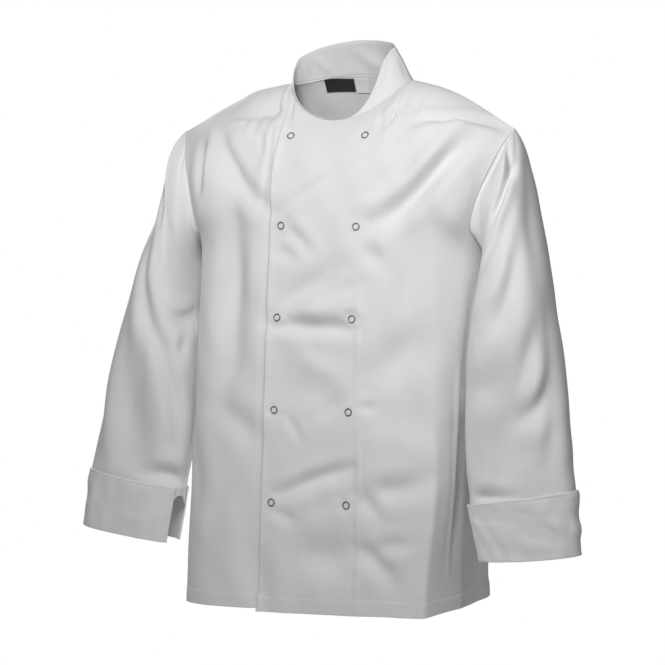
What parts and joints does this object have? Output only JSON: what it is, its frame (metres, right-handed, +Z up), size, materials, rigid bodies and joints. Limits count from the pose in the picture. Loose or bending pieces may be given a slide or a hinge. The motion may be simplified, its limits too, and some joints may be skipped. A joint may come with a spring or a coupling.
{
  "type": "chef jacket",
  "caption": "White double-breasted chef jacket in its worn, hollow form, with a stand collar, long sleeves, turned-back cuffs and ring snaps.",
  "frame": {"origin": "middle of the neck opening, level with the points where the shoulder seams meet the collar; the wearer holds the jacket up there", "axes": "+Z up, the front faces -Y, +X is the wearer's left"},
  "size_m": [0.7722, 0.2653, 0.8241],
  "materials": {
    "cotton_white": "white poly-cotton twill, matt",
    "tape_black": "black woven tape, bare",
    "tape_white": "white satin tape, bare",
    "snap_steel": "nickel-plated open ring snaps"
  },
  "bodies": {
    "root": {"front_left": "cotton_white", "front_right": "cotton_white", "back": "cotton_white", "sleeve_left": "cotton_white", "sleeve_right": "cotton_white", "cuff_left": "cotton_white", "cuff_right": "cotton_white", "collar": "cotton_white", "neck_label": "tape_black", "size_label": "tape_white", "snap_outer_1": "snap_steel", "snap_inner_1": "snap_steel", "snap_outer_2": "snap_steel", "snap_inner_2": "snap_steel", "snap_outer_3": "snap_steel", "snap_inner_3": "snap_steel", "snap_outer_4": "snap_steel", "snap_inner_4": "snap_steel", "snap_outer_5": "snap_steel", "snap_inner_5": "snap_steel"}
  },
  "joints": []
}
